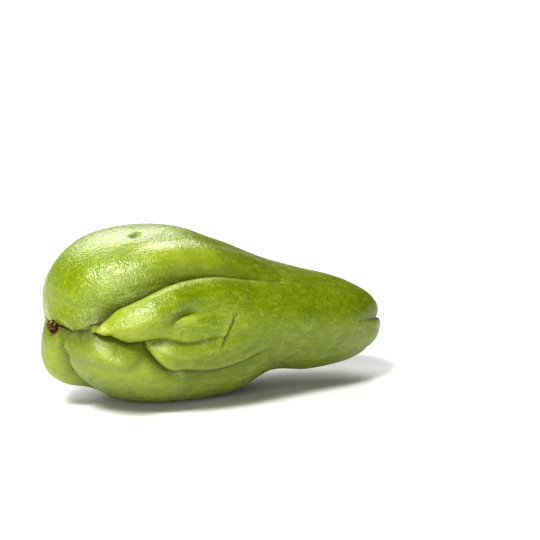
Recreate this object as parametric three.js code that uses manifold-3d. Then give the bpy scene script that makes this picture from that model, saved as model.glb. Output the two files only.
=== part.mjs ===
// A whole chayote squash lying on its side: one pear-shaped fruit whose skin is gathered into
// deep folds at both ends, and the dried remnant of the blossom in the folds of its broad end.
//
// Millimetres, +Z up. +X runs from the blossom end to the stem end, and the origin is on the
// resting surface, under the middle of the fruit's box.

import * as THREE from 'three';
import { mergeVertices } from 'three/addons/utils/BufferGeometryUtils.js';
import Module from 'manifold-3d';

const wasm = await Module();
wasm.setup();

// ---------------------------------------------------------------- driving dimensions

const LENGTH = 146;
// Cross-sections at even steps along the fruit: half width, height of the centre, half height.
const SECTIONS = [
  [39.5, 37.7, 35.4],
  [41.6, 38.2, 37.5],
  [43.2, 37.4, 37.7],
  [42.4, 36.2, 36.0],
  [39.5, 33.7, 31.5],
  [35.8, 33.4, 24.2],
  [32.9, 29.8, 23.2],
  [31.4, 27.6, 23.4],
  [31.0, 26.3, 23.9],
];
// How square the rounding of each end is: 2 is an ellipse.
const BLOSSOM_END_FULLNESS = 3.0;
const STEM_END_FULLNESS = 2.6;

const REST_FLAT = 1.0;        // how much of the belly is pressed flat where it rests
const CREASE_FLOOR = 2.5;     // half width of the bottom of a fold
const SEAT_GAP = 0.3;         // clearance between the dried blossom and the skin round it
const BLOSSOM_HALF = [1.7, 3.0, 2.1];   // half its thickness, width and height
const BLOSSOM_PLACE = [12, -6];         // where it grows, along and around, in degrees

const MESH_ALONG = 40;        // quads along and across the fruit
const MESH_ACROSS = 26;
const CURVE_STEPS = 6;        // straight pieces between two points of a fold's line
const EASING_PASSES = 2;      // times the skin is eased after folding

// Lines on the skin are lists of [along, around, amount]. Along runs from 0 degrees at the blossom
// end's pole to 180 at the stem end's. Around is 0 degrees on the -Y side, 90 on top, 180 on the
// +Y side. In a fold, the amount is a share of its depth, and in a roll it is the height in mm.

// Each fold: depth, then how far its plump shoulders reach to either side of the line, in mm.
const FOLDS = [
  // On the -Y side: the mouth in the blossom end, the fold under the middle lobe, the brow over
  // it, the fold between the two lower lobes, the cheek below, a short cross fold and a groove.
  { depth: 8, reach: [12, 10], line: [
    [3, 170, 0.5], [9, -9, 0.8], [18, -4, 0.9], [25, -6, 1], [31, -7, 1], [36, -5, 1],
    [41, -1, 0.8]] },
  { depth: 7, reach: [10, 11], line: [
    [31, -2, 0.6], [35, 1, 0.9], [39, 2, 1], [43, 0, 1], [47, -3, 1], [51, -6, 1],
    [56, -4, 0.8], [61, -4, 0.45], [68, -7, 0.35], [76, -4, 0.2], [88, 0, 0.05]] },
  { depth: 9, reach: [28, 12], line: [
    [31, -3, 0.9], [36, 4, 1], [41, 10, 1], [48, 16, 1], [55, 21.5, 1], [63, 29, 0.9],
    [69, 33, 0.85], [77, 37, 0.75], [88, 41, 0.5], [104, 45, 0.1]] },
  { depth: 7, reach: [10, 13], line: [
    [26, -15, 0.4], [28, -29, 1], [31, -49, 1], [36, -62, 0.9], [43, -73, 0.8], [50, -84, 0.6],
    [62, -96, 0.2]] },
  { depth: 5, reach: [9, 11], line: [
    [55, -8, 0.8], [57, -14, 1], [60, -21, 1], [64, -27, 1], [68, -26, 0.75], [75, -28, 0.8],
    [83, -25, 0.6], [94, -17, 0.3]] },
  { depth: 3, reach: [9, 8], line: [[85, 19, 0.3], [82, 8, 1], [80, -2, 1], [78, -12, 0.2]] },
  { depth: 2, reach: [18, 18], line: [
    [61, 73, 0.4], [67, 64, 0.9], [76, 61, 0.9], [92, 58, 0.2]] },
  // On the +Y side: the mouth, the brow and the fold between the lower lobes.
  { depth: 9, reach: [13, 20], line: [
    [8, 200, 0.35], [22, 184, 0.6], [34, 178, 1], [46, 174, 1], [58, 176, 0.8], [70, 182, 0.5],
    [84, 184, 0.1]] },
  { depth: 8, reach: [11, 24], line: [
    [36, 174, 0.9], [48, 155, 1], [62, 144, 0.9], [77, 138, 0.6], [96, 134, 0.1]] },
  { depth: 6, reach: [12, 10], line: [
    [28, 186, 0.7], [36, 206, 1], [48, 218, 1], [64, 224, 0.8], [80, 222, 0.5],
    [98, 218, 0.1]] },
  // The pit where the stem broke off, and the short folds that gather into it.
  { depth: 7, reach: [13, 13], line: [[178, 90, 1], [178, -90, 1]] },
  { depth: 5, reach: [9, 9], line: [[176, 20, 1], [164, 16, 0.9], [150, 12, 0.6], [132, 10, 0.1]] },
  { depth: 4.5, reach: [9, 9], line: [
    [176, 85, 1], [164, 88, 0.8], [148, 92, 0.5], [120, 96, 0.25], [96, 98, 0.05]] },
  { depth: 5, reach: [9, 9], line: [
    [176, 160, 1], [164, 158, 0.9], [150, 154, 0.6], [134, 150, 0.1]] },
  { depth: 4, reach: [8, 9], line: [
    [176, 228, 1], [162, 226, 0.8], [146, 222, 0.5], [122, 216, 0.1]] },
  { depth: 4.5, reach: [8, 8], line: [
    [176, 300, 1], [163, 304, 0.9], [148, 310, 0.5], [128, 316, 0.1]] },
];

// The plump rolls between the folds.
const ROLLS = [
  { width: 24, line: [[30, 14, 1.5], [42, 34, 2], [58, 50, 1.5]] },
  { width: 11, line: [
    [41, 4, 1.5], [46, 6, 2.8], [52, 11, 4.5], [58, 15, 5.6], [64, 20, 5], [71, 25, 2.5],
    [84, 28, 1]] },
  { width: 9, line: [[47, 0, 2], [54, 2, 2], [62, 3, 2], [72, 4, 1]] },
  { width: 18, line: [[34, -24, 1.5], [44, -30, 2], [60, -45, 1]] },
  { width: 8, line: [[28, -14, 1.2], [36, -14, 2.4], [43, -15, 3.6], [49, -18, 4.2]] },
  { width: 17, line: [[14, -50, 3], [23, -78, 4.5], [30, -96, 4.5], [36, -125, 2]] },
  { width: 10, line: [[64, -14, 2], [74, -16, 1.5], [84, -12, 0.8]] },
  { width: 26, line: [[30, 80, 1], [45, 85, 1]] },
  { width: 13, line: [[44, 166, 2.5], [56, 160, 3], [70, 156, 1.5]] },
  { width: 14, line: [[40, 196, 1.5], [56, 206, 1.5]] },
  { width: 14, line: [[165, -30, 2], [155, -30, 1]] },
  { width: 12, line: [[165, 55, 1.2], [155, 50, 1]] },
  { width: 14, line: [[162, 190, 1.5], [150, 190, 1]] },
];

// ---------------------------------------------------------------- the plain pear shape

const sectionCurve = new THREE.CatmullRomCurve3(
  SECTIONS.map((row) => new THREE.Vector3(...row)), false, 'catmullrom', 0.5);

// The point of the unfolded skin at two angles in radians.
function skin(along, around) {
  const toStem = (1 - Math.cos(along)) / 2;
  const fullness = THREE.MathUtils.lerp(BLOSSOM_END_FULLNESS, STEM_END_FULLNESS, toStem);
  const axial = Math.abs(Math.cos(along)) ** fullness;
  const radial = Math.abs(Math.sin(along)) ** fullness;
  const stretch = (axial + radial) ** (-1 / fullness);
  const station = (1 - stretch * Math.cos(along)) / 2;
  const swell = stretch * Math.sin(along);
  const section = sectionCurve.getPoint(THREE.MathUtils.clamp(station, 0, 1));
  return new THREE.Vector3(
    (station - 0.5) * LENGTH,
    -section.x * swell * Math.cos(around),
    section.y + section.z * swell * Math.sin(around));
}

// ---------------------------------------------------------------- folds and rolls

const radians = THREE.MathUtils.degToRad;

// A fold's or roll's line as short straight pieces on the skin, with the amount at each end.
function trace(line) {
  const curve = new THREE.CatmullRomCurve3(
    line.map(([along, around]) => skin(radians(along), radians(around))),
    false, 'catmullrom', 0.5);
  const last = line.length - 1;
  const points = curve.getPoints(last * CURVE_STEPS);
  const amounts = points.map((_, i) => {
    const from = Math.min(Math.floor(i / CURVE_STEPS), last - 1);
    return THREE.MathUtils.lerp(line[from][2], line[from + 1][2], i / CURVE_STEPS - from);
  });
  return points.slice(1).map((end, i) => (
    { piece: new THREE.Line3(points[i], end), from: amounts[i], to: amounts[i + 1] }));
}

// The nearest place on a traced line: its distance, the amount there, and the line's direction.
function nearest(point, pieces) {
  let best = { distance: Infinity };
  const foot = new THREE.Vector3();
  for (const { piece, from, to } of pieces) {
    const share = piece.closestPointToPointParameter(point, true);
    piece.at(share, foot);
    const distance = foot.distanceTo(point);
    if (distance < best.distance) {
      best = {
        distance,
        foot: foot.clone(),
        amount: THREE.MathUtils.lerp(from, to, share),
        direction: piece.delta(new THREE.Vector3()).normalize(),
      };
    }
  }
  return best;
}

const folds = FOLDS.map((fold) => ({ ...fold, pieces: trace(fold.line) }));
const rolls = ROLLS.map((roll) => ({ ...roll, pieces: trace(roll.line) }));

// How far a roll lifts the skin: a smooth mound over its line.
function rollHeight(point) {
  let height = 0;
  for (const roll of rolls) {
    const { distance, amount } = nearest(point, roll.pieces);
    const x = Math.min(distance / roll.width, 1);
    height += amount * (1 - x * x) ** 2;
  }
  return height;
}

// How far the folds draw the skin in: two round shoulders that meet at the line.
function foldDepth(point, normal) {
  let cubes = 0;
  for (const fold of folds) {
    const { distance, foot, amount, direction } = nearest(point, fold.pieces);
    const side = new THREE.Vector3().crossVectors(normal, direction);
    const above = point.clone().sub(foot).dot(side) > 0;
    const reach = fold.reach[above ? 0 : 1] * (0.45 + 0.55 * amount);
    const x = Math.min(Math.hypot(distance, CREASE_FLOOR) / reach, 1);
    const shoulder = 1 - Math.sqrt(1 - (1 - x) ** 2);
    cubes += (shoulder * amount * fold.depth) ** 3;
  }
  return Math.cbrt(cubes);
}

function folded(point, normal) {
  return point.clone().addScaledVector(normal, rollHeight(point) - foldDepth(point, normal));
}

// ---------------------------------------------------------------- solids

// A closed mesh of position and index only, from any three.js geometry.
function welded(geometry) {
  geometry.deleteAttribute('normal');
  geometry.deleteAttribute('uv');
  return mergeVertices(geometry);
}

function eachPoint(geometry, move) {
  const position = geometry.getAttribute('position');
  const point = new THREE.Vector3();
  for (let i = 0; i < position.count; i += 1) {
    const moved = move(point.fromBufferAttribute(position, i), i);
    position.setXYZ(i, moved.x, moved.y, moved.z);
  }
}

function toManifold(geometry) {
  return new wasm.Manifold(new wasm.Mesh({
    numProp: 3,
    vertProperties: new Float32Array(geometry.getAttribute('position').array),
    triVerts: new Uint32Array(geometry.getIndex().array),
  }));
}

function fromManifold(solid) {
  const { vertProperties, triVerts } = solid.getMesh();
  const geometry = new THREE.BufferGeometry();
  geometry.setAttribute('position', new THREE.BufferAttribute(vertProperties, 3));
  geometry.setIndex(new THREE.BufferAttribute(triVerts, 1));
  return geometry;
}

// Moves each point halfway to the mean of its neighbours, so that no crease is sharper than the
// mesh can follow.
function ease(geometry) {
  const corners = geometry.getIndex().array;
  const before = geometry.getAttribute('position').clone();
  const neighbours = Array.from({ length: before.count }, () => new Set());
  for (let i = 0; i < corners.length; i += 3) {
    const [a, b, c] = corners.slice(i, i + 3);
    neighbours[a].add(b).add(c);
    neighbours[b].add(c).add(a);
    neighbours[c].add(a).add(b);
  }
  const neighbour = new THREE.Vector3();
  eachPoint(geometry, (p, i) => {
    const mean = new THREE.Vector3();
    neighbours[i].forEach((j) => mean.add(neighbour.fromBufferAttribute(before, j)));
    return p.clone().lerp(mean.divideScalar(neighbours[i].size), 0.5);
  });
}

// The fruit: a box of quads blown up to a ball, the ball stretched to the pear shape, its skin
// raised into rolls, drawn in along the folds and eased, and the lowest part of its belly pressed
// flat.
function fruitGeometry() {
  const geometry = welded(
    new THREE.BoxGeometry(1, 1, 1, MESH_ALONG, MESH_ACROSS, MESH_ACROSS));
  const even = (t) => Math.tan(t * Math.PI / 2);
  eachPoint(geometry, (p) => {
    const ray = new THREE.Vector3(even(p.x), even(p.y), even(p.z)).normalize();
    return skin(Math.acos(THREE.MathUtils.clamp(-ray.x, -1, 1)), Math.atan2(ray.z, -ray.y));
  });
  geometry.computeVertexNormals();
  const normals = geometry.getAttribute('normal').clone();
  geometry.deleteAttribute('normal');
  eachPoint(geometry, (p, i) => folded(p, new THREE.Vector3().fromBufferAttribute(normals, i)));
  for (let pass = 0; pass < EASING_PASSES; pass += 1) ease(geometry);
  geometry.computeBoundingBox();
  const rest = geometry.boundingBox.min.z + REST_FLAT;
  eachPoint(geometry, (p) => p.setZ(Math.max(p.z, rest)));
  return geometry;
}

// The direction straight out of the unfolded skin.
function outward(along, around) {
  const step = 1e-3;
  const forward = skin(along + step, around).sub(skin(along - step, around));
  const upward = skin(along, around + step).sub(skin(along, around - step));
  return forward.cross(upward).normalize();
}

// The dried blossom: a small crusty button with a lumpy rim, pinched between the lips of the
// mouth and facing out of the skin where it grows. A margin makes it larger all round.
function blossomGeometry(margin) {
  const geometry = welded(new THREE.SphereGeometry(1, 16, 10));
  const [thickness, width, height] = BLOSSOM_HALF;
  eachPoint(geometry, (p) => {
    const turn = Math.atan2(p.z, p.y);
    const lumps = 1 + 0.1 * Math.sin(5 * turn + 0.6) + 0.07 * Math.cos(8 * turn + 4 * p.x);
    return new THREE.Vector3(
      p.x * (thickness + margin),
      p.y * (width * lumps + margin),
      p.z * (height * lumps + margin));
  });
  const [along, around] = BLOSSOM_PLACE.map(radians);
  const normal = outward(along, around);
  const facing = new THREE.Quaternion().setFromUnitVectors(new THREE.Vector3(-1, 0, 0), normal);
  const place = folded(skin(along, around), normal);
  return geometry.applyQuaternion(facing).translate(place.x, place.y, place.z);
}

// ---------------------------------------------------------------- the object

const skinMaterial = new THREE.MeshStandardMaterial(
  { color: '#9db64e', roughness: 0.42, metalness: 0 });
skinMaterial.name = 'green_skin';
const driedMaterial = new THREE.MeshStandardMaterial(
  { color: '#5a481a', roughness: 0.9, metalness: 0 });
driedMaterial.name = 'dried_tissue';

const seat = toManifold(blossomGeometry(SEAT_GAP));
const fruit = new THREE.Mesh(
  fromManifold(toManifold(fruitGeometry()).subtract(seat)), skinMaterial);
fruit.name = 'fruit';

const blossom = new THREE.Mesh(blossomGeometry(0), driedMaterial);
blossom.name = 'dried_blossom';

// Everything moves together so that the box of the whole stands on the origin.
const chayote = new THREE.Group();
chayote.add(fruit, blossom);
const box = new THREE.Box3().setFromObject(chayote);
const middle = box.getCenter(new THREE.Vector3());
chayote.position.set(-middle.x, -middle.y, -box.min.z);

export default chayote;
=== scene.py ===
"""A whole chayote squash lying on its side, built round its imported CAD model.

Two pieces: the folded, waxy green fruit, and the dried remnant of its blossom. Lengths in the
tables of folds and rolls are millimetres. Everything that reaches Blender is in metres.
"""

import math

import bmesh
import bpy
import numpy as np
from bpy.props import FloatProperty, FloatVectorProperty, PointerProperty
from bpy.types import Operator, Panel, PropertyGroup
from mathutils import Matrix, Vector, noise


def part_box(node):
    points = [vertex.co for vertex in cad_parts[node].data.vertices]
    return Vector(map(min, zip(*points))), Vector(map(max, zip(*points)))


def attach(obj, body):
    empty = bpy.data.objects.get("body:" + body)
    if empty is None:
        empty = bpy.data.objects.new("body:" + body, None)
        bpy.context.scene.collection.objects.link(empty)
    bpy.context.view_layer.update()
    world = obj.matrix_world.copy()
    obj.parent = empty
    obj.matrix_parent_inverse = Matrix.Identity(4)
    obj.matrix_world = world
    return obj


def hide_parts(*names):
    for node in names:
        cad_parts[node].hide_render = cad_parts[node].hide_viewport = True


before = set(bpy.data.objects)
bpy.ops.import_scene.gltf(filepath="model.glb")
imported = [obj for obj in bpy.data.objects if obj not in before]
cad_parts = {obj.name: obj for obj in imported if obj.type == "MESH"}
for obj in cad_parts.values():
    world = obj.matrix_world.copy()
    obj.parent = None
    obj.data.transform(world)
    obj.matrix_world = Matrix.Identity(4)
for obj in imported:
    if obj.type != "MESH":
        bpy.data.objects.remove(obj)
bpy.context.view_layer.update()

bl_info = {
    "name": "Chayote squash",
    "version": (1, 0, 0),
    "blender": (4, 5, 0),
    "location": "View3D > Sidebar > Chayote",
    "description": "A whole chayote with its folded skin and dried blossom, on a studio floor",
    "category": "Object",
}

MM = 0.001
FRUIT_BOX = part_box("fruit")
BLOSSOM_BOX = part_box("dried_blossom")


# ------------------------------------------------------------------ the fruit's shape

# Cross-sections at even steps along the fruit, blossom end first: half width, height of the
# centre above the lowest point of the belly, half height.
LENGTH = 146.0
SECTIONS = (
    (39.5, 37.7, 35.4),
    (41.6, 38.2, 37.5),
    (43.2, 37.4, 37.7),
    (42.4, 36.2, 36.0),
    (39.5, 33.7, 31.5),
    (35.8, 33.4, 24.2),
    (32.9, 29.8, 23.2),
    (31.4, 27.6, 23.4),
    (31.0, 26.3, 23.9),
)
BLOSSOM_END_FULLNESS = 3.0     # how square the rounding of each end is: 2 is an ellipse
STEM_END_FULLNESS = 2.6
REST_FLAT = 1.0                # how much of the belly is pressed flat where it rests

# Lines on the skin are lists of (along, around, amount). Along runs from 0 degrees at the
# blossom end's pole to 180 at the stem end's. Around is 0 degrees on the -Y side, 90 on top
# and 180 on the +Y side. In a fold the amount is a share of its depth; in a roll it is mm.

# Each fold: depth; how far its plump shoulders reach on the two sides of the line; how far one
# lip laps over the other, its sign saying which; how much that lip swells; half the floor's
# width; and the line.
FOLDS = {
    "mouth": (13, (12, 9.5), 1.5, 1.0, 1.4, (
        (3, 170, 0.5), (9, -9, 0.8), (18, -4, 0.9), (25, -6, 1), (31, -7, 1), (36, -5, 1),
        (41, -1, 0.8))),
    "mouth_corner": (8, (6, 6), 0, 0, 1.4, ((33, -6, 0.8), (37, -4, 1), (42, -1, 0.6))),
    "under_middle": (15, (8.5, 10.5), 3.0, 1.5, 1.0, (
        (31, -2, 0.6), (35, 1, 0.9), (39, 2, 1), (43, 0, 1), (47, -3, 1), (51, -6, 1),
        (56, -4, 0.8), (61, -4, 0.45), (68, -7, 0.35), (76, -4, 0.2), (88, 0, 0.05))),
    "brow": (15, (28, 10), -1.8, 1.2, 0.8, (
        (31, -3, 0.9), (36, 4, 1), (41, 10, 1), (48, 16, 1), (55, 21.5, 1), (63, 29, 0.9),
        (69, 33, 0.85), (77, 37, 0.75), (88, 41, 0.5), (104, 45, 0.1))),
    "chin": (12, (8, 13), 2.8, 1.2, 1.0, (
        (26, -15, 0.4), (28, -29, 1), (31, -49, 1), (36, -62, 0.9), (43, -73, 0.8),
        (50, -84, 0.6), (62, -96, 0.2))),
    "cheek": (12, (6, 10), 2.3, 1.4, 0.7, (
        (55, -8, 0.8), (57, -14, 1), (60, -21, 1), (64, -27, 1), (68, -26, 0.75),
        (75, -28, 0.8), (83, -25, 0.6), (94, -17, 0.3))),
    "nick": (3.4, (4, 5), -0.7, 0.8, 0.4, (
        (62, 5, 0.3), (65, 9, 1), (68, 11, 1), (71, 12, 0.2))),
    "slash": (3.0, (8, 6), -1.0, 0, 0.4, (
        (83, 12, 0.2), (82, 6, 0.8), (80, -2, 1), (78, -11, 0.3))),
    "dimple": (3.8, (4.5, 4.5), 0, 0, 1.0, ((59, 70, 1), (61, 73, 1))),
    "temple": (2.6, (10, 11), 0, 0, 3.0, (
        (8, 95, 0.3), (12, 60, 0.8), (17, 35, 0.8), (22, 14, 0.6))),
    "crown": (2.0, (18, 18), 0, 0, 3.0, (
        (61, 73, 0.4), (67, 64, 0.9), (76, 61, 0.9), (92, 58, 0.2))),
    "far_mouth": (11, (13, 20), -2.2, 0.8, 0.45, (
        (8, 200, 0.35), (22, 184, 0.6), (34, 178, 1), (46, 174, 1), (58, 176, 0.8),
        (70, 182, 0.5), (84, 184, 0.1))),
    "far_brow": (10, (9, 24), 1.4, 0.8, 0.45, (
        (36, 174, 0.9), (48, 155, 1), (62, 144, 0.9), (77, 138, 0.6), (96, 134, 0.1))),
    "far_chin": (6, (12, 10), 1.2, 0.6, 0.45, (
        (28, 186, 0.7), (36, 206, 1), (48, 218, 1), (64, 224, 0.8), (80, 222, 0.5),
        (98, 218, 0.1))),
    "far_nick": (3, (5, 6), 0.5, 0.3, 0.4, ((76, 160, 0.3), (84, 164, 1), (92, 170, 0.3))),
    "stem_pit": (7, (13, 13), 0, 0, 2.0, ((178, 90, 1), (178, -90, 1))),
    "stem_near": (5, (9, 9), 0.8, 0.3, 0.5, (
        (176, 20, 1), (164, 16, 0.9), (150, 12, 0.6), (132, 10, 0.1))),
    "stem_top": (4.5, (9, 9), 0, 0, 0.6, (
        (176, 85, 1), (164, 88, 0.8), (148, 92, 0.5), (120, 96, 0.25), (96, 98, 0.05))),
    "stem_far": (5, (9, 9), -0.8, 0.3, 0.5, (
        (176, 160, 1), (164, 158, 0.9), (150, 154, 0.6), (134, 150, 0.1))),
    "stem_far_low": (4, (8, 9), 0, 0, 0.5, (
        (176, 228, 1), (162, 226, 0.8), (146, 222, 0.5), (122, 216, 0.1))),
    "stem_near_low": (4.5, (8, 8), 0.6, 0.3, 0.5, (
        (176, 300, 1), (163, 304, 0.9), (148, 310, 0.5), (128, 316, 0.1))),
}

# Each plump roll between the folds: half width, line.
ROLLS = {
    "upper_lobe": (24, ((30, 14, 1.5), (42, 34, 2), (58, 50, 1.5))),
    "upper_brim": (13, ((50, 32, 0.6), (60, 40, 2), (70, 47, 3), (82, 52, 2.6), (96, 55, 0.8))),
    "nose": (7, ((26, 6, 0.8), (31, 6, 1.2), (35, 8, 0.8))),
    "middle_lobe": (11, (
        (41, 4, 1.5), (46, 6, 2.8), (52, 11, 4.5), (58, 15, 5.6), (64, 20, 5), (71, 25, 2.5),
        (84, 28, 1))),
    "middle_tip": (4.5, ((35, 1, 3), (38, 4, 4.5), (42, 5, 2.5))),
    "middle_lower": (9, ((47, 0, 2), (54, 2, 2), (62, 3, 2), (72, 4, 1))),
    "lower_lobe": (18, ((34, -24, 1.5), (44, -30, 2), (60, -45, 1))),
    "lower_top": (8, ((28, -14, 1.2), (36, -14, 2.4), (43, -15, 3.6), (49, -18, 4.2))),
    "small_lobe": (17, ((14, -50, 3), (23, -78, 4.5), (30, -96, 4.5), (36, -125, 2))),
    "cheek_lobe": (10, ((64, -14, 2), (74, -16, 1.5), (84, -12, 0.8))),
    "crown_lobe": (26, ((30, 80, 1), (45, 85, 1))),
    "far_lobe": (13, ((44, 166, 2.5), (56, 160, 3), (70, 156, 1.5))),
    "far_lower": (14, ((40, 196, 1.5), (56, 206, 1.5))),
    "stem_lobe_near": (14, ((165, -30, 2), (155, -30, 1))),
    "stem_lobe_top": (12, ((165, 55, 1.2), (155, 50, 1))),
    "stem_lobe_far": (14, ((162, 190, 1.5), (150, 190, 1))),
}

# Painted light, where the skin is made paler for light bounced from the floor onto the lower
# lobes and for sheen on the top: half width and line.
PAINTED_LIGHT_LINES = (
    (9, ((44, -28, 0.8), (52, -28, 1), (64, -34, 0.4))),
    (9, ((18, -45, 0.4), (28, -62, 0.8), (36, -76, 1))),
    (4.5, ((46, 1, 0.4), (52, 1, 0.8), (58, -1, 0.4))),
    (6, ((60, -13, 0.5), (66, -16, 0.4), (72, -16, 0.1))),
    (7, ((60, 52, 0.4), (68, 51, 0.9), (76, 52, 0.7), (84, 54, 0.3))),
)

CUTS_ALONG = 160      # quads along and across the fruit
CUTS_ACROSS = 112
SECTION_STEPS = 40    # rows from one cross-section to the next
CURVE_STEPS = 8       # straight pieces between two points of a line
PARALLEL = 0.99       # an edge runs along an axis if their cosine is above this

LEAST_SPAN = 0.45     # share of its reach that a fold keeps where its amount is nothing
DARK_FOLD = 7.0       # a fold this deep in mm gets full painted shade at its bottom
BROAD_FLOOR = 1.8     # a hollow with a floor wider than this gets no painted shade
LIP_SHADE = 0.9       # mm the painted shade spreads on a lip that laps over
UNDER_SHADE = 3.6     # mm the painted shade spreads on the skin under a lip
PLAIN_SHADE = 1.6     # mm the painted shade spreads where nothing laps
EASED_CREASE = 0.3    # skin deeper in a crease than this is eased
EASING_PASSES = 3
EASING = 0.5

# The profile of a lip that laps over, in shares of its span.
LAP_PEAK = 0.22       # where it leans over most
LAP_FADE = 0.3        # how much of its outer part fades out
RIM = (0.3, 0.28)     # middle and width of its swollen rim
RIM_START = 0.15      # the rim is full from here outwards
TUCK_WIDTH = 0.12     # width of its foot, which is tucked in
TUCK_SHARE = 0.6      # how far the foot moves, as a share of the lap
LIP_HIGHLIGHT_BAND = (2.2, 1.6)  # middle and width in mm of the painted highlight band on it

# Unevenness of the skin, coarse to fine: size in mm, and how drawn out along the fruit. The
# height of the finest, the wrinkles, is a setting.
LUMPS = ((24, 1.6), (8, 1.8), (2.6, 2.2))
LUMP_HEIGHTS = (0.55, 0.28)     # mm
LUMPS_IN_CREASE = 0.3     # share of the unevenness that is left deep in a crease
SEED_STEPS = (7.3, 3.1, 5.7)    # how far apart in the noise two seeds are

# Marks on the skin: strength at the middle, where 1 is full, and mm over which it drops by 1.
CORKY_SCAR = (1.3, 6.0)
STAIN = (1.2, 1.8)
STAIN_LINE = ((12, -14, 1), (15, -22, 1))

# Crumbs of the dried blossom: share of the height, size on a ball of a radius, and seed.
CRUMB_RADIUS = 3
CRUMBS = ((1, 1.0, 5), (0.5, 0.45, 6))
BLOSSOM_CUTS = 5          # how many times the blossom's ball is made finer
BLOSSOM_OVERHANG = 0.4    # mm its crumbs may stand past its CAD box


def smooth_curve(points, steps):
    """Rows along a smooth curve through points, steps to each gap."""
    rows = np.asarray(points, float)
    rows = np.vstack([2 * rows[0] - rows[1], rows, 2 * rows[-1] - rows[-2]])
    u = (np.arange(steps) / steps)[:, None]
    gaps = []
    for before, start, end, after in zip(rows, rows[1:], rows[2:], rows[3:]):
        gaps.append(0.5 * (2 * start + (end - before) * u
                           + (2 * before - 5 * start + 4 * end - after) * u ** 2
                           + (3 * start - before - 3 * end + after) * u ** 3))
    return np.vstack(gaps + [rows[-2:-1]])


SECTION_ROWS = smooth_curve(SECTIONS, SECTION_STEPS)


def skin(along, around):
    """The points of the plain, unfolded skin at two angles in radians."""
    to_stem = (1 - np.cos(along)) / 2
    fullness = BLOSSOM_END_FULLNESS + (STEM_END_FULLNESS - BLOSSOM_END_FULLNESS) * to_stem
    stretch = (np.abs(np.cos(along)) ** fullness
               + np.abs(np.sin(along)) ** fullness) ** (-1 / fullness)
    station = np.clip((1 - stretch * np.cos(along)) / 2, 0, 1)
    swell = stretch * np.sin(along)
    stations = np.linspace(0, 1, len(SECTION_ROWS))
    width, centre, height = (np.interp(station, stations, column) for column in SECTION_ROWS.T)
    return np.stack([(station - 0.5) * LENGTH, -width * swell * np.cos(around),
                     centre + height * swell * np.sin(around)], -1)


def trace(line):
    """A line's points on the skin, closely spaced, with the amount at each."""
    rows = np.asarray(line, float)
    points = smooth_curve(skin(np.radians(rows[:, 0]), np.radians(rows[:, 1])), CURVE_STEPS)
    at = np.arange(len(points)) / CURVE_STEPS
    return points, np.interp(at, np.arange(len(rows)), rows[:, 2])


def nearest(points, path, amounts):
    """For each point: distance to the path, place on it, its direction there, amount there."""
    best = np.full(len(points), np.inf)
    place, direction, amount = np.zeros_like(points), np.zeros_like(points), np.zeros(len(points))
    for start, end, first, last in zip(path, path[1:], amounts, amounts[1:]):
        step = end - start
        length = np.linalg.norm(step)
        share = np.clip((points - start) @ step / length ** 2, 0, 1)
        foot = start + share[:, None] * step
        gap = np.linalg.norm(points - foot, axis=1)
        closer = gap < best
        best[closer], place[closer], direction[closer] = gap[closer], foot[closer], step / length
        amount[closer] = (first + share * (last - first))[closer]
    return best, place, direction, amount


def near(points, path, margin):
    """Which points lie within a margin of a path's box."""
    inside = (points > path.min(0) - margin) & (points < path.max(0) + margin)
    return np.flatnonzero(inside.all(1))


def raise_rolls(points):
    """How far the rolls lift each point of the skin."""
    height = np.zeros(len(points))
    for width, line in ROLLS.values():
        path, amounts = trace(line)
        chosen = near(points, path, width)
        distance, _, _, amount = nearest(points[chosen], path, amounts)
        height[chosen] += amount * (1 - np.clip(distance / width, 0, 1) ** 2) ** 2
    return height


def band(values, middle, width):
    """A soft band: 1 at the middle, fading away on both sides."""
    return np.exp(-((values - middle) / width) ** 2)


def draw_in_folds(points, normals, fold_depth, lip_overlap):
    """Each point's height, sideways move, painted shade by a crease, painted highlight on a lip.
    """
    cubes, crease, lip_highlight = (np.zeros(len(points)) for _ in range(3))
    swelling = np.zeros(len(points))
    sideways = np.zeros_like(points)
    for depth, reach, lap, lift, floor, line in FOLDS.values():
        path, amounts = trace(line)
        chosen = near(points, path, max(reach))
        distance, place, direction, amount = nearest(points[chosen], path, amounts)
        side = np.cross(normals[chosen], direction)
        side /= np.maximum(np.linalg.norm(side, axis=1), 1e-9)[:, None]
        above = np.einsum("ij,ij->i", points[chosen] - place, side) > 0
        span = np.where(above, reach[0], reach[1]) * (LEAST_SPAN + (1 - LEAST_SPAN) * amount)
        x = distance / span
        shoulder = 1 - np.clip(np.hypot(x, floor / span), 0, 1)
        cubes[chosen] += ((1 - np.sqrt(1 - shoulder ** 2)) * amount * depth * fold_depth) ** 3
        # Painted shade: the skin is darkened near the line, furthest on the side under a lip.
        dark = min(depth / DARK_FOLD, 1)
        spread = np.where(above == (lap > 0), LIP_SHADE, UNDER_SHADE) if lap else PLAIN_SHADE
        shade = amount * dark * np.exp(-distance / (dark * spread))
        crease[chosen] = np.maximum(crease[chosen], shade * (floor < BROAD_FLOOR))
        if not lap:
            continue
        toward = np.sign(lap)
        on_lip = (above == (lap > 0)) * np.clip((1 - x) / LAP_FADE, 0, 1) * amount
        lean = x / LAP_PEAK * np.exp(1 - x / LAP_PEAK)
        reach_over = on_lip * lean * abs(lap) * lip_overlap
        tuck = TUCK_SHARE * abs(lap) * amount * band(x, 0, TUCK_WIDTH)
        sideways[chosen] += side * (toward * (tuck - reach_over))[:, None]
        rim = band(x, *RIM) * np.clip(x / RIM_START, 0, 1)
        swelling[chosen] += lift * on_lip * rim
        # Painted highlight: a paler band along the lapping lip.
        lip_highlight[chosen] = np.maximum(lip_highlight[chosen], on_lip * band(distance, *LIP_HIGHLIGHT_BAND))
    return swelling - np.cbrt(cubes), sideways, crease, lip_highlight


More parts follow.
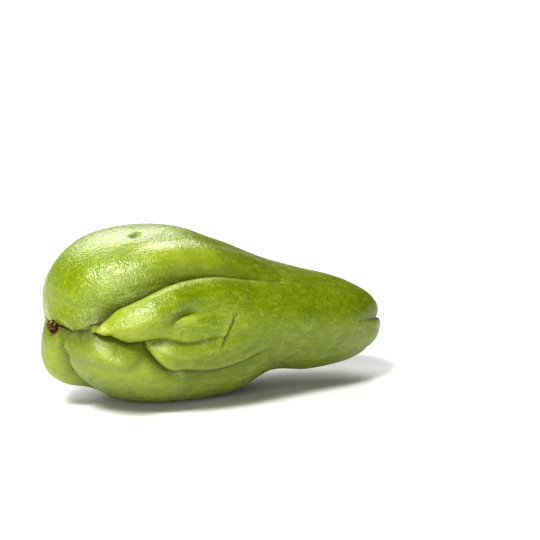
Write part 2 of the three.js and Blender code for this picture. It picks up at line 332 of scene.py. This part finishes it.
def lumps(points, size, stretch, seed):
    """Smooth random heights from -1 to 1, with lumps of a size in mm, drawn out along X."""
    scale = Vector((1 / (size * stretch), 1 / size, 1 / size))
    shift = Vector([seed * step for step in SEED_STEPS])
    return np.array([noise.noise(Vector(p) * scale + shift) for p in points])


def grid_box(along, sides):
    """A box divided evenly, into one count of faces along X and another across."""
    bm = bmesh.new()
    bmesh.ops.create_cube(bm, size=2)
    for axis, count in ((0, along), (1, sides), (2, sides)):
        edges = [e for e in bm.edges
                 if abs((e.verts[0].co - e.verts[1].co).normalized()[axis]) > PARALLEL]
        bmesh.ops.subdivide_edges(bm, edges=edges, cuts=count - 1, use_grid_fill=True)
    return bm


def shape_fruit(bm, settings):
    """Turns the grid box into the fruit; returns marks: painted shade, highlight and light, scar,
    stain.
    """
    co = np.array([v.co for v in bm.verts])
    rays = np.tan(co * math.pi / 4)
    rays /= np.linalg.norm(rays, axis=1)[:, None]
    along, around = np.arccos(np.clip(-rays[:, 0], -1, 1)), np.arctan2(rays[:, 2], -rays[:, 1])
    plain = skin(along, around)
    place_points(bm, plain)
    bm.normal_update()
    normals = np.array([v.normal for v in bm.verts])

    out, sideways, crease, lip_highlight = draw_in_folds(
        plain, normals, settings.fold_depth, settings.lip_overlap)
    out += raise_rolls(plain)
    calm = 1 - (1 - LUMPS_IN_CREASE) * np.clip(crease, 0, 1)
    heights = (*LUMP_HEIGHTS, settings.wrinkle_height / MM)
    for seed, (height, (size, stretch)) in enumerate(zip(heights, LUMPS), 1):
        out += calm * height * lumps(plain, size, stretch, seed)
    points = plain + normals * out[:, None] + sideways
    points[:, 2] = np.maximum(points[:, 2], points[:, 2].min() + REST_FLAT)

    low, high = np.array(FRUIT_BOX[0]), np.array(FRUIT_BOX[1])
    points = low + (points - points.min(0)) / np.ptp(points, axis=0) * (high - low)
    place_points(bm, points)
    tight = [vert for vert, amount in zip(bm.verts, crease) if amount > EASED_CREASE]
    for _ in range(EASING_PASSES):
        bmesh.ops.smooth_vert(bm, verts=tight, factor=EASING, use_axis_x=True,
                              use_axis_y=True, use_axis_z=True)

    from_stem = np.linalg.norm(plain - plain[along.argmax()], axis=1)
    corky = np.clip(CORKY_SCAR[0] - from_stem / CORKY_SCAR[1], 0, 1)
    gap, _, _, _ = nearest(plain, *trace(STAIN_LINE))
    stain = np.clip(STAIN[0] - gap / STAIN[1], 0, 1)
    # Painted light: paler skin along some lobes, for bounce light from the floor and for sheen.
    pale = np.zeros(len(plain))
    for width, line in PAINTED_LIGHT_LINES:
        gap, _, _, amount = nearest(plain, *trace(line))
        pale = np.maximum(pale, amount * band(gap, 0, width))
    return {"crease": crease, "lip_highlight": lip_highlight, "pale": pale, "corky": corky, "stain": stain}


def place_points(bm, points):
    for vert, point in zip(bm.verts, points):
        vert.co = point


def finish_mesh(bm, name, material, marks):
    """Makes the bmesh a smooth object at the origin, with its marks as point attributes."""
    bmesh.ops.recalc_face_normals(bm, faces=bm.faces)
    mesh = bpy.data.meshes.new(name)
    bm.to_mesh(mesh)
    bm.free()
    mesh.polygons.foreach_set("use_smooth", [True] * len(mesh.polygons))
    for mark, values in marks.items():
        attribute = mesh.attributes.new(mark, "FLOAT", "POINT")
        attribute.data.foreach_set("value", values.astype(np.float32))
    mesh.materials.append(material)
    piece = bpy.data.objects.new(name, mesh)
    bpy.context.scene.collection.objects.link(piece)
    return piece


# ------------------------------------------------------------------ materials

def linear(code):
    """An sRGB hex colour as linear red, green, blue and a full alpha."""
    channels = [int(code[i:i + 2], 16) / 255 for i in (1, 3, 5)]
    return tuple(c / 12.92 if c <= 0.04045 else ((c + 0.055) / 1.055) ** 2.4
                 for c in channels) + (1.0,)


def per_mm(size):
    """A texture's scale, on Object coordinates in metres, for features of a size in mm."""
    return 1 / (size * MM)


def add_node(tree, kind, settings=None, links=None):
    """Adds a node, sets its properties and sockets, and links what feeds its sockets."""
    node = tree.nodes.new(kind)
    for key, value in (settings or {}).items():
        if isinstance(key, str) and hasattr(node, key):
            setattr(node, key, value)
        else:
            node.inputs[key].default_value = value
    for key, source in (links or {}).items():
        tree.links.new(source, node.inputs[key])
    return node


def new_material(name):
    """An empty node material: its tree, its shader and the shader's place."""
    material = bpy.data.materials.new(name)
    material.use_nodes = True
    return material, material.node_tree, material.node_tree.nodes["Principled BSDF"]


MIX_FACTOR, MIX_A, MIX_B, MIX_COLOUR = 0, 6, 7, 2      # sockets of a colour Mix node


def waxy_skin(settings):
    """Chayote skin: living rind under a thin waxy cuticle.

    The wax gives a broad soft shine, broken up by the fine wrinkles; the flesh under it lets a
    little light through. The green is uneven: mottled over centimetres, streaked along the
    fruit and dotted with pale pores. Painted shade darkens the skin down in the folds, which are
    also duller; a painted highlight makes their lips paler, and painted light, for light bounced
    from the floor and for sheen, makes some of the lobes paler.
    """
    material, tree, shader = new_material("waxy_chayote_skin")
    where = add_node(tree, "ShaderNodeTexCoord").outputs["Object"]
    drawn_out = add_node(tree, "ShaderNodeMapping", {"Scale": (0.3, 1, 1)},
                         {"Vector": where}).outputs["Vector"]
    marks = {name: add_node(tree, "ShaderNodeAttribute", {"attribute_name": name}).outputs["Fac"]
             for name in ("crease", "lip_highlight", "pale", "corky", "stain")}

    def patches(size, detail, low, high, vector):
        """A noise of a size in mm, stretched from low..high to 0..1."""
        field = add_node(tree, "ShaderNodeTexNoise",
                         {"Scale": per_mm(size), "Detail": detail, "Roughness": 0.6},
                         {"Vector": vector})
        return add_node(tree, "ShaderNodeMapRange", {"From Min": low, "From Max": high},
                        {"Value": field.outputs["Fac"]}).outputs["Result"]

    def tinted(under, colour, factor, amount):
        """The colour under, mixed towards another by a field times an amount."""
        share = add_node(tree, "ShaderNodeMath", {"operation": "MULTIPLY", 1: amount},
                         {0: factor}).outputs["Value"]
        return add_node(tree, "ShaderNodeMix", {"data_type": "RGBA", MIX_B: colour},
                        {MIX_FACTOR: share, MIX_A: under}).outputs[MIX_COLOUR]

    pores = add_node(tree, "ShaderNodeTexVoronoi", {"Scale": per_mm(2.4), "Randomness": 1.0},
                     {"Vector": where})
    dots = add_node(tree, "ShaderNodeMapRange", {"From Min": 0.2, "From Max": 0.08},
                    {"Value": pores.outputs["Distance"]}).outputs["Result"]
    pale, deep = (*settings.pale_and_highlight_colour, 1), (*settings.deep_colour, 1)
    base = add_node(tree, "ShaderNodeRGB")
    base.outputs["Color"].default_value = (*settings.skin_colour, 1)
    colour = base.outputs["Color"]
    for tint, factor, amount in (
            (deep, patches(17, 3, 0.42, 0.68, where), 0.55),         # mottling
            (pale, patches(1.7, 3, 0.45, 0.7, drawn_out), 0.3),      # streaks along the fruit
            (deep, patches(0.7, 2, 0.48, 0.68, where), 0.6),         # specks
            (pale, dots, 0.35),
            # painted light on some lobes, for bounce light and sheen
            (pale, marks["pale"], 0.5),
            # painted highlight along the folds' lips
            (pale, marks["lip_highlight"], 0.45),
            # painted shade down in the folds
            ((*settings.crease_colour, 1), marks["crease"], 0.95),
            (linear("#a8905a"), marks["stain"], 0.4),                # by the blossom
            (linear("#9a8052"), marks["corky"], 0.9)):               # the stem scar
        colour = tinted(colour, tint, factor, amount)

    # Wrinkles and lengthwise furrows of 1 to 2 mm, and grain of 0.9 mm. Real grain is nearer
    # 0.3 mm; this is as fine as shows at arm's length.
    wrinkles = add_node(tree, "ShaderNodeTexNoise",
                        {"Scale": per_mm(2.2), "Detail": 2, "Roughness": 0.5, "Distortion": 0.6},
                        {"Vector": where}).outputs["Fac"]
    furrows = add_node(tree, "ShaderNodeTexNoise", {"Scale": per_mm(1.2), "Detail": 2},
                       {"Vector": drawn_out}).outputs["Fac"]
    grain = add_node(tree, "ShaderNodeTexNoise", {"Scale": per_mm(0.9), "Detail": 3},
                     {"Vector": where}).outputs["Fac"]
    feeds = {}
    for height, distance in ((wrinkles, 0.14), (furrows, 0.22), (grain, 0.4)):      # mm
        feeds["Height"] = height
        bump = add_node(tree, "ShaderNodeBump", {"Strength": 0.8, "Distance": distance * MM},
                        feeds)
        feeds["Normal"] = bump.outputs["Normal"]
    shine = patches(5, 3, 0.3, 0.7, where)
    waxy = add_node(tree, "ShaderNodeMapRange", {"To Min": 0.24, "To Max": 0.36},
                    {"Value": shine}).outputs["Result"]
    roughness = add_node(tree, "ShaderNodeMath", {"operation": "MULTIPLY_ADD", 1: 0.5},
                         {0: marks["crease"], 2: waxy}).outputs["Value"]

    tree.links.new(colour, shader.inputs["Base Color"])
    tree.links.new(roughness, shader.inputs["Roughness"])
    tree.links.new(feeds["Normal"], shader.inputs["Normal"])
    shader.inputs["IOR"].default_value = 1.56
    shader.inputs["Subsurface Weight"].default_value = 0.08
    shader.inputs["Subsurface Radius"].default_value = (1.0, 1.0, 0.35)
    shader.inputs["Subsurface Scale"].default_value = 1.5 * MM
    return material


def dried_tissue(settings):
    """Dried plant tissue: papery remains of a flower, brown, dull and crumbling.

    It takes the light with no shine at all, and its colour runs from straw to nearly black
    between the crumbs, which are about half a millimetre across.
    """
    material, tree, shader = new_material("dried_blossom_tissue")
    where = add_node(tree, "ShaderNodeTexCoord").outputs["Object"]
    crumbs = add_node(tree, "ShaderNodeTexVoronoi", {"Scale": per_mm(0.9)}, {"Vector": where})
    fibres = add_node(tree, "ShaderNodeTexNoise", {"Scale": per_mm(0.5), "Detail": 3},
                      {"Vector": where})
    tone = add_node(tree, "ShaderNodeMath", {"operation": "MULTIPLY"},
                    {0: crumbs.outputs["Distance"], 1: fibres.outputs["Fac"]})
    dark, mid, straw = linear("#2a1d0d"), (*settings.tissue_colour, 1), linear("#a08a55")
    ramp = add_node(tree, "ShaderNodeValToRGB", None, {"Fac": tone.outputs["Value"]})
    stops = ramp.color_ramp.elements
    stops[0].position, stops[0].color = 0.05, straw
    stops[1].position, stops[1].color = 0.42, dark
    stops.new(0.2).color = mid
    bump = add_node(tree, "ShaderNodeBump", {"Strength": 1.0, "Distance": 0.3 * MM},
                    {"Height": crumbs.outputs["Distance"]})
    tree.links.new(ramp.outputs["Color"], shader.inputs["Base Color"])
    tree.links.new(bump.outputs["Normal"], shader.inputs["Normal"])
    shader.inputs["Roughness"].default_value = 0.92
    shader.inputs["Specular IOR Level"].default_value = 0.2
    return material


def matt_floor(settings):
    """Matt pale grey card, lit until it looks white: it takes a soft shadow and no reflection."""
    material, tree, shader = new_material("matt_pale_card")
    where = add_node(tree, "ShaderNodeTexCoord").outputs["Object"]
    fibre = add_node(tree, "ShaderNodeTexNoise", {"Scale": per_mm(1.2), "Detail": 2},
                     {"Vector": where})
    bump = add_node(tree, "ShaderNodeBump", {"Strength": 0.1, "Distance": 0.02 * MM},
                    {"Height": fibre.outputs["Fac"]})
    tree.links.new(bump.outputs["Normal"], shader.inputs["Normal"])
    shader.inputs["Base Color"].default_value = (*settings.floor_colour, 1)
    shader.inputs["Roughness"].default_value = 0.95
    shader.inputs["Specular IOR Level"].default_value = 0.1
    return material


def studio_walls(settings):
    """White walls all round and below the floor's edge, fading to a dim ceiling."""
    world = bpy.data.worlds.new("white_studio")
    world.use_nodes = True
    tree = world.node_tree
    ray = add_node(tree, "ShaderNodeTexCoord").outputs["Generated"]
    upward = add_node(tree, "ShaderNodeSeparateXYZ", None, {"Vector": ray}).outputs["Z"]
    strength = add_node(tree, "ShaderNodeMapRange", {
        "interpolation_type": "SMOOTHSTEP", "From Min": WALL_TOP[0], "From Max": WALL_TOP[1],
        "To Min": settings.sky_strength, "To Max": CEILING_STRENGTH}, {"Value": upward})
    sky = tree.nodes["Background"]
    sky.inputs["Color"].default_value = (1, 1, 1, 1)
    tree.links.new(strength.outputs["Result"], sky.inputs["Strength"])
    return world


WALL_TOP = (0.0, 0.12)      # sine of the heights where the walls start and end fading
CEILING_STRENGTH = 0.03


# ------------------------------------------------------------------ settings

def colour_setting(name, description, code):
    return FloatVectorProperty(name=name, description=description, subtype="COLOR", size=3,
                               min=0, max=1, default=linear(code)[:3])


class FruitSettings(PropertyGroup):
    """Shape and colours of the fruit."""
    fold_depth: FloatProperty(
        name="Fold depth", description="How deep the folds are drawn, as a factor",
        default=1.0, min=0, max=1.5, subtype="FACTOR")
    lip_overlap: FloatProperty(
        name="Lip overlap", description="How far the folds' lips lap over, as a factor",
        default=1.0, min=0, max=2, subtype="FACTOR")
    wrinkle_height: FloatProperty(
        name="Wrinkle height", description="Height of the fine wrinkles along the skin",
        default=0.05 * MM, min=0, max=0.5 * MM, unit="LENGTH", subtype="DISTANCE")
    skin_colour: colour_setting("Skin", "The skin's usual green", "#6b7a0a")
    # Also the colour of the painted highlight on the lips and of the painted light on some lobes.
    pale_and_highlight_colour: colour_setting("Pale skin", "Pores, streaks and stretched lips", "#a3ad46")
    deep_colour: colour_setting("Deep skin", "The mottling's darker green", "#5b6b08")
    # Painted shade: the colour the skin is darkened to down in the folds.
    crease_colour: colour_setting("Crease", "The skin deep in the folds", "#101a02")


class BlossomSettings(PropertyGroup):
    """Shape and colour of the dried blossom."""
    raggedness: FloatProperty(
        name="Raggedness", description="Height of its crumbs", default=0.6 * MM, min=0,
        max=1 * MM, unit="LENGTH", subtype="DISTANCE")
    tissue_colour: colour_setting("Tissue", "The dried tissue's brown", "#4a3a24")


class StageSettings(PropertyGroup):
    """Floor, light and camera."""
    floor_colour: colour_setting("Floor", "The card's pale grey", "#dedede")
    key_power: FloatProperty(
        name="Key light", description="Power of the soft light above and to the left",
        default=26.0, min=0, unit="POWER")
    top_power: FloatProperty(
        name="Top light", description="Power of the wide light high behind",
        default=28.0, min=0, unit="POWER")
    front_power: FloatProperty(
        name="Front light", description="Power of the low fill from the front",
        default=17.0, min=0, unit="POWER")
    sky_strength: FloatProperty(
        name="Walls", description="Strength of the white walls all round", default=1.0,
        min=0, subtype="FACTOR")
    distance: FloatProperty(
        name="Camera distance", description="From the camera to the fruit", default=0.615,
        min=0.2, unit="LENGTH", subtype="DISTANCE")
    lens: FloatProperty(
        name="Lens", description="Focal length in millimetres", default=100.0, min=20,
        unit="CAMERA")


# ------------------------------------------------------------------ operators

class CHAYOTE_OT_fruit(Operator):
    """Build the folded green fruit"""
    bl_idname = "chayote.fruit"
    bl_label = "Fruit"
    bl_options = {"REGISTER", "UNDO"}

    def execute(self, context):
        settings = context.scene.chayote_fruit
        bm = grid_box(CUTS_ALONG, CUTS_ACROSS)
        marks = shape_fruit(bm, settings)
        piece = finish_mesh(bm, "fruit_skin", waxy_skin(settings), marks)
        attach(piece, "root")
        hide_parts("fruit")
        return {"FINISHED"}


class CHAYOTE_OT_dried_blossom(Operator):
    """Build the dried remnant of the blossom"""
    bl_idname = "chayote.dried_blossom"
    bl_label = "Dried blossom"
    bl_options = {"REGISTER", "UNDO"}

    def execute(self, context):
        settings = context.scene.chayote_blossom
        bm = bmesh.new()
        bmesh.ops.create_icosphere(bm, subdivisions=BLOSSOM_CUTS, radius=1)
        low, high = (np.array(corner) / MM for corner in BLOSSOM_BOX)
        balls = np.array([v.co for v in bm.verts])
        rough = sum(height * lumps(balls * CRUMB_RADIUS, size, 1, seed)
                    for height, size, seed in CRUMBS)
        points = (low + high) / 2 + balls * (high - low) / 2
        points += balls * (rough * settings.raggedness / MM)[:, None]
        points = np.clip(points, low - BLOSSOM_OVERHANG, high + BLOSSOM_OVERHANG)
        place_points(bm, points * MM)
        piece = finish_mesh(bm, "blossom_remnant", dried_tissue(settings), {})
        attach(piece, "root")
        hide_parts("dried_blossom")
        return {"FINISHED"}


class CHAYOTE_OT_stage(Operator):
    """Lay the floor, hang the lights and set up the camera"""
    bl_idname = "chayote.stage"
    bl_label = "Stage"
    bl_options = {"REGISTER", "UNDO"}

    def execute(self, context):
        settings = context.scene.chayote_stage
        scene = context.scene
        bm = bmesh.new()
        bmesh.ops.create_circle(bm, cap_ends=True, segments=96, radius=FLOOR_RADIUS)
        floor = finish_mesh(bm, "floor", matt_floor(settings), {})
        scene.world = studio_walls(settings)
        scene.view_settings.view_transform = "Standard"
        scene.view_settings.look = "High Contrast"
        powers = {"key": settings.key_power, "top": settings.top_power,
                  "front": settings.front_power}
        for name, (place, size) in LIGHTS.items():
            lamp = bpy.data.lights.new(name, "AREA")
            lamp.size = size
            lamp.energy = powers[name]
            holder = bpy.data.objects.new(name, lamp)
            holder.location = place
            holder.rotation_euler = (AIM - Vector(place)).to_track_quat("-Z", "Y").to_euler()
            scene.collection.objects.link(holder)

        turn, tilt = (math.radians(angle) for angle in CAMERA_ANGLES)
        right = Vector((math.cos(turn), math.sin(turn), 0))
        back = Vector((math.sin(turn) * math.cos(tilt), -math.cos(turn) * math.cos(tilt),
                       math.sin(tilt)))
        camera = bpy.data.cameras.new("camera")
        camera.lens = settings.lens
        holder = bpy.data.objects.new("camera", camera)
        holder.location = (CAMERA_AIM + back * settings.distance + right * CAMERA_SLIDE[0]
                           + back.cross(right) * CAMERA_SLIDE[1])
        holder.rotation_euler = (-back).to_track_quat("-Z", "Y").to_euler()
        scene.collection.objects.link(holder)
        scene.camera = holder
        return {"FINISHED"}


FLOOR_RADIUS = 0.5
AIM = Vector((0, 0, 0.03))
LIGHTS = {"key": ((-0.78, -0.66, 1.23), 0.42), "top": ((0.12, 1.15, 1.3), 1.4),
          "front": ((-0.8, -1.3, 0.32), 0.9)}   # place, width
CAMERA_ANGLES = (-25, 10)            # degrees round from the -Y side, and up
CAMERA_AIM = Vector((-0.031, 0, 0))  # where the belly rests
CAMERA_SLIDE = (0.0506, 0.0529)      # metres to the right and up, so the fruit sits to the left


class CHAYOTE_PT_panel(Panel):
    """Lists the fruit's pieces and their settings"""
    bl_label = "Chayote"
    bl_idname = "CHAYOTE_PT_panel"
    bl_space_type = "VIEW_3D"
    bl_region_type = "UI"
    bl_category = "Chayote"

    def draw(self, context):
        for owner, operator in PANEL_ROWS:
            box = self.layout.box()
            box.operator(operator)
            settings = getattr(context.scene, owner)
            for name in settings.__annotations__:
                box.prop(settings, name)


PANEL_ROWS = (
    ("chayote_fruit", "chayote.fruit"),
    ("chayote_blossom", "chayote.dried_blossom"),
    ("chayote_stage", "chayote.stage"),
)
SETTINGS = (
    ("chayote_fruit", FruitSettings),
    ("chayote_blossom", BlossomSettings),
    ("chayote_stage", StageSettings),
)
CLASSES = (FruitSettings, BlossomSettings, StageSettings, CHAYOTE_OT_fruit,
           CHAYOTE_OT_dried_blossom, CHAYOTE_OT_stage, CHAYOTE_PT_panel)


def register():
    for cls in CLASSES:
        bpy.utils.register_class(cls)
    for owner, group in SETTINGS:
        setattr(bpy.types.Scene, owner, PointerProperty(type=group))


def unregister():
    for owner, _ in SETTINGS:
        delattr(bpy.types.Scene, owner)
    for cls in reversed(CLASSES):
        bpy.utils.unregister_class(cls)


def main():
    register()
    bpy.ops.chayote.fruit()
    bpy.ops.chayote.dried_blossom()
    bpy.ops.chayote.stage()


if __name__ == "__main__":
    main()
